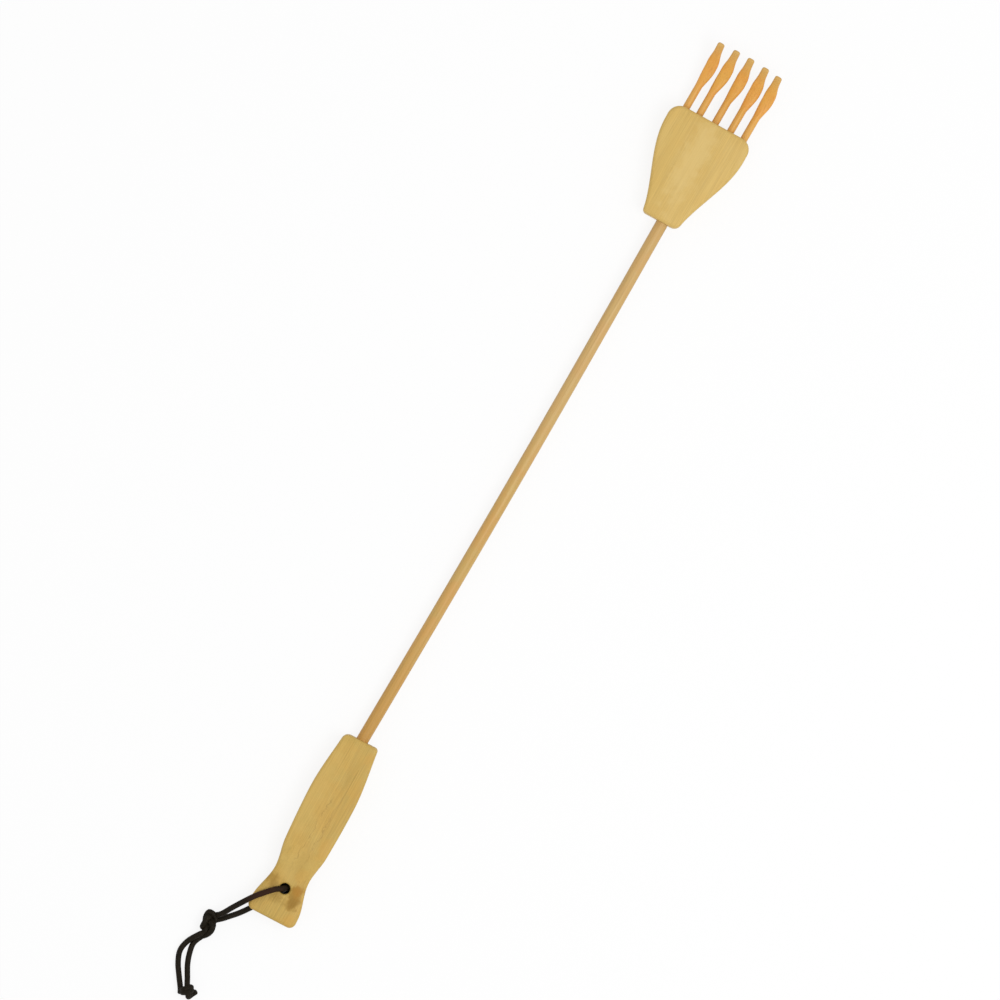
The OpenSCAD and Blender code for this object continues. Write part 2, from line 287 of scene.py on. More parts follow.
def makeSmudgeGroup():
    # patch about a place, with an uneven edge: full up to a share of its reach, then fading
    group, given, put = newGroup(
        "smudge",
        [("Place", "Vector"), ("Middle", "Vector"), ("Reach", "Vector"),
         ("Uneven", "Float"), ("Full", "Float")],
        [("Mask", "Float")])
    off = vectorNode(group, "SUBTRACT", given.outputs["Place"], given.outputs["Middle"])
    share = vectorNode(group, "DIVIDE", off, given.outputs["Reach"])
    distance = vectorNode(group, "LENGTH", share)
    ragged = noiseNode(group, given.outputs["Place"], scale=260.0, detail=3.0, roughness=0.6)["Fac"]
    about = mathNode(group, "SUBTRACT", ragged, 0.5)
    shaken = mathNode(group, "MULTIPLY", about, given.outputs["Uneven"])
    edge = mathNode(group, "ADD", distance, shaken)
    group.links.new(rangeNode(group, edge, 1.0, given.outputs["Full"]), put.inputs["Mask"])
    return group


woodGrain = makeGrainGroup()
smudge = makeSmudgeGroup()
print("shader groups built")


def newMaterial(name, shine):
    material = bpy.data.materials.new(name)
    material.use_nodes = True
    tree = material.node_tree
    shader = tree.nodes["Principled BSDF"]
    shader.inputs["Specular IOR Level"].default_value = shine
    place = tree.nodes.new("ShaderNodeTexCoord").outputs["Object"]
    return material, tree, shader, place


def grainColour(tree, place, looks):
    # grain between the deep and the pale colour, with blotches
    grain = placeGroup(tree, woodGrain, Place=place, Stretch=looks["stretch"], Wave=looks["wave"])
    colour = mixNode(tree, grain["Tone"], looks["deep"], looks["pale"])
    return grain, tinted(tree, colour, looks["blotch"], grain["Blotch"], looks["blotches"])


def addPatches(tree, colour, place, origin, looks):
    # patches: middle from the origin and reach in mm, unevenness, full share, tint and amount
    for middle, reach, uneven, full, tint, amount in looks["patches"]:
        mask = placeGroup(
            tree, smudge, Place=place, Middle=origin + Vector(middle)*mm, Reach=Vector(reach)*mm,
            Uneven=uneven, Full=full)["Mask"]
        colour = tinted(tree, colour, looks[tint], mask, amount)
    return colour


def finishShader(tree, shader, colour, gloss, height, looks):
    # roughness goes from its first to its second value with the gloss
    tree.links.new(colour, shader.inputs["Base Color"])
    tree.links.new(rangeNode(tree, gloss, 0.0, 1.0, *looks["roughness"]), shader.inputs["Roughness"])
    bump = tree.nodes.new("ShaderNodeBump")
    bump.inputs["Distance"].default_value = looks["bump"]*mm
    bump.inputs["Strength"].default_value = 1.0
    tree.links.new(height, bump.inputs["Height"])
    tree.links.new(bump.outputs["Normal"], shader.inputs["Normal"])


# cord

cordSetup = {
    "diameter": 2.8,
    "sides": 32,
    "step": 0.2,                # distance between rings along the cord, mm
    "relief": 0.07,             # height of the plait, mm
    "plaits": 4,
    "plaitLength": 1.9,
    "endRound": 0.6,            # share of the radius that rounds off a cut end
    "smoothAngle": 40,
    # quarter turns out of the hole, towards the two headings in degrees
    "turn": {"radius": 5.55, "slack": 0.95, "middle": 7, "front": 126, "back": 151},
    # places from the middle of the hole, with the height above the ground, mm.
    # one end of the cord goes front, over, left;
    # the other goes back, under, right and folds in the end knot
    "routes": {
        "front": [(-6, 7.1, 12.6), (-10.4, 10.8, 12.6), (-15.4, 14.1, 11.8), (-20.4, 17.1, 9.1)],
        "over": [
            (-24.8, 19.5, 6.4), (-26.8, 21, 4.8), (-28.1, 22.7, 3.6), (-29, 24.1, 3.8),
            (-30.2, 24.7, 5.4), (-32.3, 25, 5.9), (-34.4, 25, 5.5), (-35.8, 24.8, 3.9),
            (-35.6, 23.5, 2.4), (-34, 22, 1.7), (-32, 21.4, 1.7), (-30, 21.4, 2.4),
            (-28.6, 22.3, 3.9), (-27.8, 23.7, 5.1), (-28, 25.6, 4.7), (-29.9, 26, 4.1),
            (-32, 25.5, 3.8), (-33.8, 24.1, 3.9), (-35.8, 22.8, 4.5), (-37.8, 23, 4.4)],
        "left": [
            (-39.7, 24.4, 4.4), (-45.2, 27.5, 2.6), (-51, 28.5, 1.55), (-56.6, 26.4, 1.5),
            (-61.9, 22.8, 1.8), (-66.5, 19.4, 2.4), (-69.1, 18, 2)],
        "back": [(-11, 6.1, 1.45), (-16.2, 9.3, 1.45), (-21.2, 12.8, 1.7)],
        "under": [
            (-25.7, 16.7, 2.2), (-27.7, 18.5, 2.1), (-29.2, 20.1, 1.8), (-30.3, 21.4, 1.6),
            (-31.1, 22.5, 1.6), (-31.9, 23, 1.9), (-32.7, 22.9, 2.8), (-33.5, 22.2, 4),
            (-34.4, 21.2, 4.1), (-33.1, 20.6, 3.5), (-31.8, 21.4, 3.7), (-30.9, 22.7, 3.5),
            (-31, 24.1, 3.5), (-31.8, 23.5, 4.7), (-32.1, 22.2, 5.5), (-32.9, 20.9, 5.7),
            (-34.2, 20.3, 5.7), (-35.7, 20.3, 5.3), (-37.1, 20.7, 4.8), (-38.3, 21.4, 4),
            (-39.3, 22.2, 3.2)],
        "right": [
            (-40.3, 23, 2.4), (-44.9, 24.7, 1.55), (-50, 23.9, 1.5), (-55.2, 22, 1.5),
            (-60.8, 18.8, 2.4), (-63.6, 17.2, 3.9), (-65.8, 15.6, 5.1)],
        "fold": [
            (-67.6, 14.4, 4.6), (-68.2, 13.9, 3.2), (-67.6, 13.5, 2), (-66.4, 13, 1.6),
            (-65.2, 12.4, 1.8), (-64.1, 11.7, 2.2)],
    },
    # turns of the end knot about an axis: how far along, out from and round it, by share of the turns
    "wrap": {
        "place": (-66, 16, 3.7),
        "heading": 214,
        "along": [(0, -1.7), (0.5, -0.1), (1, 1.5)],
        "radius": [(0, 1.1), (0.1, 2.2), (0.9, 2.2), (1, 1.1)],
        "angle": [(0, -60), (1, 740)],
        "samples": 170,
    },
    "looks": {
        "dark": (0.0075, 0.0058, 0.0026),
        "worn": (0.025, 0.016, 0.008),
        # painted sheen: a reddish tint that stands in for the cord's sheen near the hole
        "paintedSheen": (0.040, 0.014, 0.007),
        "patches": [((-7, 7, 12), (13, 13, 9), 0.6, 0.2, "paintedSheen", 0.7)],   # painted reddish sheen where the cord leaves the hole
        "roughness": (0.62, 0.40),
        "shine": 0.10,
        "bump": 0.04,
    },
}
plaitRate = 2*math.pi/(cordSetup["plaitLength"]*mm)


def turnPoints(strand, up):
    # quarter turn from the middle of the hole out to the upper or the lower face
    turn = cordSetup["turn"]
    heading = math.radians(turn[strand])
    meanHeading = math.radians((turn["front"] + turn["back"])/2)
    points = []
    for angle in map(math.radians, (0, 30, 60, 90)):
        out = turn["radius"]*(1 - math.cos(angle))
        points.append((
            out*math.cos(heading) - turn["slack"]*math.cos(meanHeading),
            out*math.sin(heading) - turn["slack"]*math.sin(meanHeading),
            turn["middle"] + up*turn["radius"]*math.sin(angle)))
    return points


def joinedLines(*parts):
    # one smooth line through all the parts, cut again where each new part begins
    stops = [holeGround + Vector(p)*mm for part in parts for p in part]
    starts = [sum(len(part) for part in parts[:k]) for k in range(1, len(parts))]
    lines = [[]]
    for i in range(len(stops) - 1):
        if i in starts:
            lines[-1].append(stops[i])
            lines.append([])
        a = stops[max(0, i - 1)]
        b, c = stops[i], stops[i + 1]
        d = stops[min(len(stops) - 1, i + 2)]
        count = max(2, round((c - b).length/(cordSetup["step"]*mm)))
        for k in range(count):
            t = k/count     # from b to c, with the slopes that a and d give
            lines[-1].append(b + t*((c - a) + t*((2*a - 5*b + 4*c - d) + t*(3*b - 3*c + d - a)))/2)
    lines[-1].append(stops[-1])
    return lines


def wrapLine():
    wrap = cordSetup["wrap"]
    heading = math.radians(wrap["heading"])
    axis = Vector((math.cos(heading), math.sin(heading), 0))
    across = Vector((-axis.y, axis.x, 0))
    middle = holeGround + Vector(wrap["place"])*mm
    line = []
    for k in range(wrap["samples"] + 1):
        share = k/wrap["samples"]
        angle = math.radians(smoothAt(wrap["angle"], share))
        out = math.cos(angle)*across + math.sin(angle)*upward
        line.append(middle + mm*(
            smoothAt(wrap["along"], share)*axis + smoothAt(wrap["radius"], share)*out))
    return line


def routeLength(line):
    return sum((b - a).length for a, b in zip(line, line[1:]))


def sweepCord(bm, line, pathLayer, roundEnds):
    # a ring of the cord pulled along the line, with the plait raised on it
    radius = cordSetup["diameter"]/2*mm
    relief = cordSetup["relief"]*mm
    endRound = cordSetup["endRound"]*radius
    total = routeLength(line)
    firstRing = ring = startRing(bm, pathLayer, cordSetup["sides"])
    run = 0.0
    frames = carryFrames(line)
    for i, (point, side, up) in enumerate(frames):
        if i:
            ring = pullRing(bm, ring)
            run += (point - frames[i - 1][0]).length
        ends = zip((run, total - run), roundEnds)
        shrink = max(drawnIn(distance, endRound) if cut else 0 for distance, cut in ends)
        for v in ring:
            across, over = v[pathLayer].x, v[pathLayer].y
            angle = cordSetup["plaits"]*math.atan2(over, across)
            plait = abs(math.sin(angle + plaitRate*run)*math.sin(angle - plaitRate*run))
            reach = radius - relief + relief*plait - shrink
            v.co = point + reach*(across*side + over*up)
            v[pathLayer] = Vector((across, over, run))
    closeEnds(bm, firstRing, ring)


def makeCordMaterial():
    looks = cordSetup["looks"]
    material, tree, shader, place = newMaterial("waxedCord", looks["shine"])
    path = tree.nodes.new("ShaderNodeAttribute")
    path.attribute_name = "cordPath"
    parts = splitNode(tree, path.outputs["Vector"])
    around = mathNode(tree, "ARCTAN2", parts["Y"], parts["X"])
    turns = mathNode(tree, "MULTIPLY", around, float(cordSetup["plaits"]))
    drawn = mathNode(tree, "MULTIPLY", parts["Z"], plaitRate)
    oneWay = mathNode(tree, "SINE", mathNode(tree, "ADD", turns, drawn))
    otherWay = mathNode(tree, "SINE", mathNode(tree, "SUBTRACT", turns, drawn))
    plait = mathNode(tree, "ABSOLUTE", mathNode(tree, "MULTIPLY", oneWay, otherWay))
    crest = rangeNode(tree, plait, 0.0, 0.9)
    fray = noiseNode(tree, place, scale=900.0, detail=3.0)["Fac"]
    waxed = mathNode(tree, "MULTIPLY", crest, rangeNode(tree, fray, 0.3, 0.75))
    colour = mixNode(tree, waxed, looks["dark"], looks["worn"])
    colour = addPatches(tree, colour, place, holeGround, looks)
    finishShader(tree, shader, colour, waxed, mathNode(tree, "ADD", plait, fray), looks)
    return material


cordMaterial = makeCordMaterial()


def makeCordPiece(name, node, lines):
    # each line comes with which of its ends are rounded off
    bm = bmesh.new()
    pathLayer = bm.verts.layers.float_vector.new("cordPath")
    for line, roundEnds in lines:
        sweepCord(bm, line, pathLayer, roundEnds)
    return finishPiece(name, bm, cordMaterial, "lanyard", node, cordSetup["smoothAngle"])


routes = cordSetup["routes"]
oneEnd = joinedLines(turnPoints("front", 1) + routes["front"], routes["over"], routes["left"])
otherEnd = joinedLines(
    turnPoints("back", -1) + routes["back"], routes["under"], routes["right"], routes["fold"])
cordLines = {"front": oneEnd[0], "back": otherEnd[0], "left": oneEnd[2], "right": otherEnd[2]}
cordNodes = {
    "front": "cord_front_strand", "back": "cord_back_strand",
    "left": "loop_left_strand", "right": "loop_right_strand",
}
cordPieces = {}
for strand, line in cordLines.items():
    ends = (False, strand in ("left", "right"))
    cordPieces[strand] = makeCordPiece(f"cord_{strand}", cordNodes[strand], [(line, ends)])
print("strands:", {s: round(routeLength(line)/mm, 1) for s, line in cordLines.items()}, "mm")

overlap = round(cordSetup["diameter"]/2/cordSetup["step"])    # the fold starts inside the strand's end
foldLine = otherEnd[2][-overlap - 1:-1] + otherEnd[3]
knot = makeCordPiece(
    "cord_knot_wound", "cord_knot", [(oneEnd[1], (False, False)), (otherEnd[1], (False, False))])
endKnot = makeCordPiece(
    "cord_end_knot_wound", "cord_end_knot", [(wrapLine(), (True, True)), (foldLine, (False, True))])

for strand, piece in cordPieces.items():
    line = cordLines[strand]


# boards

def addHairlines(tree, colour, place, origin, cracks):
    # thin lines along the board that noise makes wavy, broken up and kept near one place
    wave = noiseNode(tree, place, cracks["waves"], detail=4.0, roughness=0.65)["Fac"]
    sway = mathNode(tree, "MULTIPLY", mathNode(tree, "SUBTRACT", wave, 0.5), cracks["sway"]*mm)
    swayed = mathNode(tree, "ADD", splitNode(tree, place)["Y"], sway)
    off = mathNode(tree, "PINGPONG", swayed, cracks["spacing"]/2*mm)
    thin = rangeNode(tree, off, cracks["width"]*mm, 0.0)
    broken = rangeNode(tree, noiseNode(tree, place, cracks["breaks"])["Fac"], 0.36, 0.50)
    near = placeGroup(
        tree, smudge, Place=place, Middle=origin + Vector(cracks["middle"])*mm,
        Reach=Vector(cracks["reach"])*mm, Uneven=0.6, Full=0.3)["Mask"]
    shown = mathNode(tree, "MULTIPLY", mathNode(tree, "MULTIPLY", thin, broken), near)
    return tinted(tree, colour, cracks["tint"], shown, cracks["amount"])


def makeBoardMaterial(name, looks, origin):
    material, tree, shader, place = newMaterial(name, looks["shine"])
    grain, colour = grainColour(tree, place, looks)
    for part, amount in (("Line", "lines"), ("Pore", "pores")):
        colour = tinted(tree, colour, looks["line"], grain[part], looks[amount])
    shade = rangeNode(tree, grain["Fibre"], 0.0, 1.0, 1 - looks["fibres"], 1 + looks["fibres"])
    colour = mixNode(tree, 1.0, colour, shade, "MULTIPLY")
    colour = addPatches(tree, colour, place, origin, looks)
    if "cracks" in looks:
        colour = addHairlines(tree, colour, place, origin, looks["cracks"])
    finishShader(tree, shader, colour, grain["Tone"], grain["Height"], looks)
    return material


onEnd = 0.1*mm      # a vertex this close to a board's end is on it


def shapeBoard(setup, widthAt, thickAt):
    # a cube cut into rings along its length, each ring then set to the board's width and thickness
    length, rings = setup["length"], setup["rings"]
    firstGap, lastGap = setup["endGaps"]
    bm = bmesh.new()
    bmesh.ops.create_cube(bm, size=1.0)
    longEdges = [e for e in bm.edges if abs(e.verts[0].co.x - e.verts[1].co.x) > 0.5]
    bmesh.ops.subdivide_edges(bm, edges=longEdges, cuts=rings, use_grid_fill=True)
    for v in bm.verts:
        step = round((v.co.x + 0.5)*(rings + 1))
        u = firstGap + (length - firstGap - lastGap)*(step - 1)/(rings - 1)
        if step in (0, rings + 1):
            u = length if step else 0
        halfW, halfT = widthAt(u)/2*mm, thickAt(u)/2*mm
        v.co = Vector((u*mm, math.copysign(halfW, v.co.y), math.copysign(halfT, v.co.z)))
    return bm


def roundCorners(bm, u, radii, segments):
    # the two upright edges at one end of a board, first the one at its low side
    for side, radius in zip((-1, 1), radii):
        upright = [
            e for e in bm.edges
            if all(abs(v.co.x - u*mm) < onEnd and v.co.y*side > 0 for v in e.verts)]
        bmesh.ops.bevel(
            bm, geom=upright, offset=radius*mm, offset_type="OFFSET", segments=segments, profile=0.5,
            affect="EDGES", clamp_overlap=False, material=-1)


def easeEdges(bm, along, rim, corners):
    # marks the edges for the bevel: along the board, round its first end, and that end's two corners
    sharpFrom = 0.9     # radians between the faces
    weights = bm.edges.layers.float.new("bevel_weight_edge")
    widest = max(along, rim, *corners)
    for e in bm.edges:
        if e.is_manifold and e.calc_face_angle() > sharpFrom:
            rounding = along
            if all(abs(v.co.x) < onEnd for v in e.verts):
                low, high = sorted(v.co.y for v in e.verts)
                rounding = rim if low < 0 < high else corners[high > 0]
            e[weights] = rounding/widest
    return widest


def turnedCutter(name, profile, place, direction, steps):
    # closed turned shape from (radius, height) points that start and end on the axis, mm
    bm = bmesh.new()
    verts = [bm.verts.new((r*mm, 0, h*mm)) for r, h in profile]
    edges = [bm.edges.new(pair) for pair in zip(verts, verts[1:])]
    bmesh.ops.spin(
        bm, geom=verts + edges, cent=(0, 0, 0), axis=upward, angle=2*math.pi, steps=steps,
        use_merge=True)
    bmesh.ops.remove_doubles(bm, verts=bm.verts, dist=1e-6)
    bmesh.ops.recalc_face_normals(bm, faces=bm.faces)
    aim = upward.rotation_difference(direction).to_matrix().to_4x4()
    bmesh.ops.transform(bm, matrix=Matrix.Translation(place) @ aim, verts=bm.verts)
    return meshObject(name, bm)


def socketProfile(setup, depth):
    # straight bore with room for glue at its end, that flares at 45 degrees and runs on past the board
    r, flare, past = setup["socketD"]/2, setup["socketFlare"], 3
    bottom = -depth - setup["gluePocket"]
    return [(0, bottom), (r, bottom), (r, -flare), (r + flare + past, past), (0, past)]


def cutBoard(bm, cutters, widest, steps):
    # rounds the marked edges, cuts holes and sockets, and keeps the result as a plain mesh
    draft = meshObject("boardDraft", bm)
    bevel = draft.modifiers.new("edges", "BEVEL")
    bevel.width = widest*mm
    bevel.segments = steps
    bevel.limit_method = "WEIGHT"
    bevel.use_clamp_overlap = False
    for cutter in cutters:
        cut = draft.modifiers.new(cutter.name, "BOOLEAN")
        cut.operation = "DIFFERENCE"
        cut.solver = "EXACT"
        cut.object = cutter
    graph = bpy.context.evaluated_depsgraph_get()
    shaped = bmesh.new()
    shaped.from_mesh(bpy.data.meshes.new_from_object(draft.evaluated_get(graph)))
    for spent in (draft, *cutters):
        bpy.data.objects.remove(spent)
    return shaped


# handle

handleSetup = {
    "length": 95.5,
    "lean": 2.5,                # degrees off the rod
    "widths": [(0, 17.8), (31, 23.8), (57.5, 22.1), (72, 18), (90.5, 25), (95.5, 25)],
    "boardT": 14,
    "tailT": 7.8,
    "thinFrom": 57,
    "thinTo": 73,
    "edgeRound": 1.6,
    "edgeSteps": 6,
    "mouthRound": 1.4,
    "mouthCorners": (3, 1.6),
    "tailCorners": (3.2, 3.2),
    "cornerSteps": 8,
    "rings": 44,
    "endGaps": (4.5, 4.6),      # from each end to the first ring, room for the rounded corners
    "holeD": 5.2,
    "holeRim": 1.0,
    "rimSteps": 6,
    "cutterSides": 64,
    "rodInHandle": 25,
    "socketD": 6.12,
    "socketFlare": 0.35,
    "gluePocket": 0.4,
    "smoothAngle": 30,
    "wood": {
        "pale": (0.590, 0.400, 0.104),
        "deep": (0.505, 0.335, 0.076),
        "line": (0.330, 0.200, 0.045),
        "lines": 0.12,
        "pores": 0.22,
        "fibres": 0.11,         # how far the finest fibres go lighter and darker
        "blotch": (0.570, 0.345, 0.072),
        "blotches": 0.7,
        "stretch": (16.0, 150.0, 150.0),
        "wave": 0.9,
        "roughness": (0.54, 0.44),
        "shine": 0.35,
        "bump": 0.04,
        # painted light: a paler colour for patches that stand in for light falling on the board
        "paintedLight": (0.680, 0.470, 0.140),
        "amber": (0.600, 0.335, 0.058),
        "stain": (0.290, 0.150, 0.007),
        "rust": (0.420, 0.200, 0.018),
        # painted shade: near black, for the inside of the hole
        "paintedHoleShade": (0.010, 0.007, 0.005),
        "patches": [            # places from the hole, with the height above the ground
            ((46, 12, 14), (52, 10, 30), 0.8, 0.2, "paintedLight", 0.40),      # painted light on the left side
            ((13, 1, 12), (13, 12, 30), 0.8, 0.2, "paintedLight", 0.45),       # painted light on the waist
            ((9, -4, 11), (6, 4, 9), 1.2, 0.3, "amber", 0.35),
            ((26, -7, 14), (9, 4, 9), 1.4, 0.3, "amber", 0.45),
            ((58, -6, 14), (9, 4, 9), 1.4, 0.3, "amber", 0.35),
            ((74, -4, 14), (4, 3, 9), 1.2, 0.3, "amber", 0.45),
            ((-12.4, -9.5, 11), (5, 4, 9), 1.0, 0.3, "amber", 0.5),
            ((-1.6, -6.4, 11), (8.6, 4.6, 9), 1.8, 0.2, "stain", 0.75),     # from the hole to the edge
            ((1.4, -6.6, 11), (4.2, 3.6, 9), 1.4, 0.2, "rust", 0.85),
            ((-5.2, -5.4, 11), (4.4, 4.6, 9), 1.6, 0.2, "stain", 0.65),
            ((-5.6, 2, 11), (4.4, 4.2, 9), 1.6, 0.2, "stain", 0.45),
            ((0.6, 6.6, 11), (6.4, 4.4, 9), 1.8, 0.2, "stain", 0.6),        # above the cord
            ((14, -1, 12), (14, 5, 9), 1.4, 0.25, "stain", 0.18),
            ((0, 0, 7), (2.85, 2.85, 40), 0.1, 0.88, "paintedHoleShade", 1.0),          # painted shade inside the hole, near black
        ],
        "cracks": {
            "waves": 110.0, "breaks": 300.0, "sway": 9.0, "spacing": 4.2, "width": 0.38,
            "middle": (32, 1.2, 14), "reach": (34, 6.5, 12),
            "tint": (0.300, 0.175, 0.038), "amount": 0.55,
        },
    },
}


def holeProfile(setup):
    # hole through the tail with rounded rims, running on past both faces
    r, rim, half, past = setup["holeD"]/2, setup["holeRim"], setup["tailT"]/2, 2
    angles = [math.pi/2*k/setup["rimSteps"] for k in range(setup["rimSteps"] + 1)]
    rounded = [(r + rim*(1 - math.cos(a)), half - rim + rim*math.sin(a)) for a in angles]
    upper = rounded + [(r + rim, half + past), (0, half + past)]
    lower = [(out, -height) for out, height in reversed(upper)]
    return lower + upper


def makeHandle():
    setup = handleSetup
    mouth = Vector((rodLow.x + setup["rodInHandle"]*mm, rodMiddle.y, rodMiddle.z))

    def thickAt(u):
        t = clamped((u - setup["thinFrom"])/(setup["thinTo"] - setup["thinFrom"]))
        return setup["boardT"] + (setup["tailT"] - setup["boardT"])*t*t*(3 - 2*t)

    bm = shapeBoard(setup, lambda u: smoothAt(setup["widths"], u), thickAt)
    roundCorners(bm, setup["length"], setup["tailCorners"], setup["cornerSteps"])
    widest = easeEdges(bm, setup["edgeRound"], setup["mouthRound"], setup["mouthCorners"])
    turn = Matrix.Rotation(math.pi + math.radians(setup["lean"]), 4, "Z")
    bmesh.ops.transform(bm, matrix=Matrix.Translation(mouth) @ turn, verts=bm.verts)
    rodSocket = socketProfile(setup, setup["rodInHandle"])
    cutters = [
        turnedCutter("cordHoleCutter", holeProfile(setup), holePlace, upward, setup["cutterSides"]),
        turnedCutter("rodMouthCutter", rodSocket, mouth, forward, setup["cutterSides"]),
    ]
    shaped = cutBoard(bm, cutters, widest, setup["edgeSteps"])
    wood = makeBoardMaterial("handleWood", setup["wood"], holeGround)
    return finishPiece(
        "handle_board", shaped, wood, "scratcher", "handle", setup["smoothAngle"])


handle = makeHandle()
print("handle shaped:", len(handle.data.polygons), "faces")


# palm and tines

palmSetup = {
    "length": 53.5,
    "lean": 1.1,                # degrees off the rod
    "shift": 1.6,               # off the rod to one side
    "neckW": 18.7,
    "width": 43,
    "flank": 44,                # length over which the palm widens
    "neckFlare": 0.14,          # slope of each side at the neck
    "boardT": 14,
    "edgeRound": 1.6,
    "edgeSteps": 6,
    "neckRound": 1.6,
    "neckCorners": (3, 1.8),
    "frontCorners": (6, 6.4),
    "cornerSteps": 10,
    "rings": 26,
    "endGaps": (4.5, 9.5),
    "cutterSides": 64,
    "rodInPalm": 20,
    "socketD": 6.12,
    "socketFlare": 0.35,
    "gluePocket": 0.4,
    "smoothAngle": 30,
    "wood": {
        "pale": (0.680, 0.470, 0.146),
        "deep": (0.625, 0.420, 0.116),
        "line": (0.450, 0.290, 0.080),
        "lines": 0.07,
        "pores": 0.12,
        "fibres": 0.08,
        "blotch": (0.645, 0.415, 0.110),
        "blotches": 0.5,
        "stretch": (14.0, 120.0, 120.0),
        "wave": 0.7,
        "roughness": (0.54, 0.44),
        "shine": 0.35,
        "bump": 0.04,
        # painted highlight: a paler colour for the band along the middle of the palm
        "paintedLight": (0.720, 0.520, 0.190),
        "patches": [((32, 2.5, 14), (34, 9, 20), 1.2, 0.25, "paintedLight", 0.6)],     # painted highlight band along the middle, place from the neck
    },
}
tineSetup = {
    "count": 5,
    "margin": 5.8,              # from the palm's side to the outer tines
    "rowShift": 0.65,
    "stray": (0, -0.5, 0, 0.7, 0),          # how far each tine stands off its even place
    "lean": (0.1, 0.1, 0, -0.8, 0.35),      # how far each tip is carved to one side
    "short": (1.2, 0.5, 0, 0, 0.4),         # how much shorter each one is
    "reach": 35,
    "pegDepth": 12,
    "pegEnd": (0.5, 0.4),       # length of the peg's eased end, and how far it draws in
    "rootD": 3.6,
    "widensFrom": 12,
    "squareFrom": 13,
    "curlFrom": 14,
    "curl": 45,
    "bladeAt": 22,
    "bladeLength": 3,
    "fingerAt": 32,
    "bladeW": 5.8,
    "fingerW": 3.9,
    "tipW": 3.5,
    "bladeT": 2.6,
    "tipT": 1.9,
    "bladeShift": 0.65,
    "tipShift": 0.25,
    "tipRound": 1.2,
    "tipThinning": 0.6,         # how much of the tip's rounding its thickness takes
    "squareness": (2, 3, 3.6),  # of the root, the blade and the tip, where 2 is round
    "sides": 28,
    "rootRings": (-2, 0, 3, 6, 8, 9, 10),
    "bladeRingsFrom": 10.6,
    "bladeRings": 40,
    "tipAngles": (0, 20, 40, 58, 74, 90),
    "smoothAngle": 50,
    "cutterSides": 40,
    "socketD": 3.72,
    "socketFlare": 0.25,
    "gluePocket": 0.4,
    "bamboo": {
        "pale": (0.805, 0.375, 0.070),
        "deep": (0.720, 0.305, 0.046),
        "line": (0.480, 0.190, 0.030),
        "lines": 0.30,
        "blotch": (0.700, 0.395, 0.056),
        "blotches": 0.5,
        "root": (0.740, 0.405, 0.100),
        "tip": (0.640, 0.400, 0.122),
        "bands": [(16, 4, "root", 0.8), (25, 36, "tip", 0.9)],      # places from the palm
        "stretch": (30.0, 520.0, 520.0),
        "wave": 0.4,
        "roughness": (0.48, 0.37),
        "shine": 0.35,
        "bump": 0.04,
    },
}
curlAngle = math.radians(tineSetup["curl"])
curlR = (tineSetup["reach"] - tineSetup["curlFrom"])/math.sin(curlAngle)
tineLength = tineSetup["curlFrom"] + curlR*curlAngle
neckPlace = Vector((rodHigh.x - palmSetup["rodInPalm"]*mm, rodMiddle.y, rodMiddle.z))
palmTurn = Matrix.Rotation(math.radians(palmSetup["lean"]), 4, "Z")
onPalm = Matrix.Translation(neckPlace + Vector((0, palmSetup["shift"]*mm, 0))) @ palmTurn


def tineRoot(index):
    # where a tine leaves the front edge of the palm
    pitch = (palmSetup["width"] - 2*tineSetup["margin"])/(tineSetup["count"] - 1)
    even = (index - (tineSetup["count"] + 1)/2)*pitch
    across = even + tineSetup["stray"][index - 1] - tineSetup["rowShift"]
    return onPalm @ (Vector((palmSetup["length"], across, 0))*mm)


def makePalm():
    setup = palmSetup

    def widthAt(u):
        t = min(1, u/setup["flank"])
        half = setup["neckW"]/2
        rise = (1 - t)**2*((1 + 2*t)*half + t*setup["neckFlare"]*setup["flank"])
        return 2*(rise + t*t*(3 - 2*t)*setup["width"]/2)

    bm = shapeBoard(setup, widthAt, lambda u: setup["boardT"])
    roundCorners(bm, setup["length"], setup["frontCorners"], setup["cornerSteps"])
    widest = easeEdges(bm, setup["edgeRound"], setup["neckRound"], setup["neckCorners"])
    bmesh.ops.transform(bm, matrix=onPalm, verts=bm.verts)
    rodSocket = socketProfile(setup, setup["rodInPalm"])
    tineSocket = socketProfile(tineSetup, tineSetup["pegDepth"])
    cutters = [turnedCutter("rodNeckCutter", rodSocket, neckPlace, -forward, setup["cutterSides"])]
    for index in range(1, tineSetup["count"] + 1):
        cutters.append(turnedCutter(
            f"tineSocketCutter{index}", tineSocket, tineRoot(index), forward, tineSetup["cutterSides"]))
    shaped = cutBoard(bm, cutters, widest, setup["edgeSteps"])
    wood = makeBoardMaterial("palmWood", setup["wood"], Vector((neckPlace.x, neckPlace.y, 0)))
    return finishPiece(
        "palm_board", shaped, wood, "scratcher", "palm", setup["smoothAngle"])


palm = makePalm()
print("palm shaped:", len(palm.data.polygons), "faces")


def makeBambooMaterial(name, looks, startX):
    # bands: from none to full between two places along X from the start, mm, tint and amount
    material, tree, shader, place = newMaterial(name, looks["shine"])
    grain, colour = grainColour(tree, place, looks)
    placeX = splitNode(tree, place)["X"]
    for none, full, tint, amount in looks["bands"]:
        band = rangeNode(tree, placeX, startX + none*mm, startX + full*mm)
        colour = tinted(tree, colour, looks[tint], band, amount)
    colour = tinted(tree, colour, looks["line"], grain["Line"], looks["lines"])
    finishShader(tree, shader, colour, grain["Tone"], grain["Height"], looks)
    return material


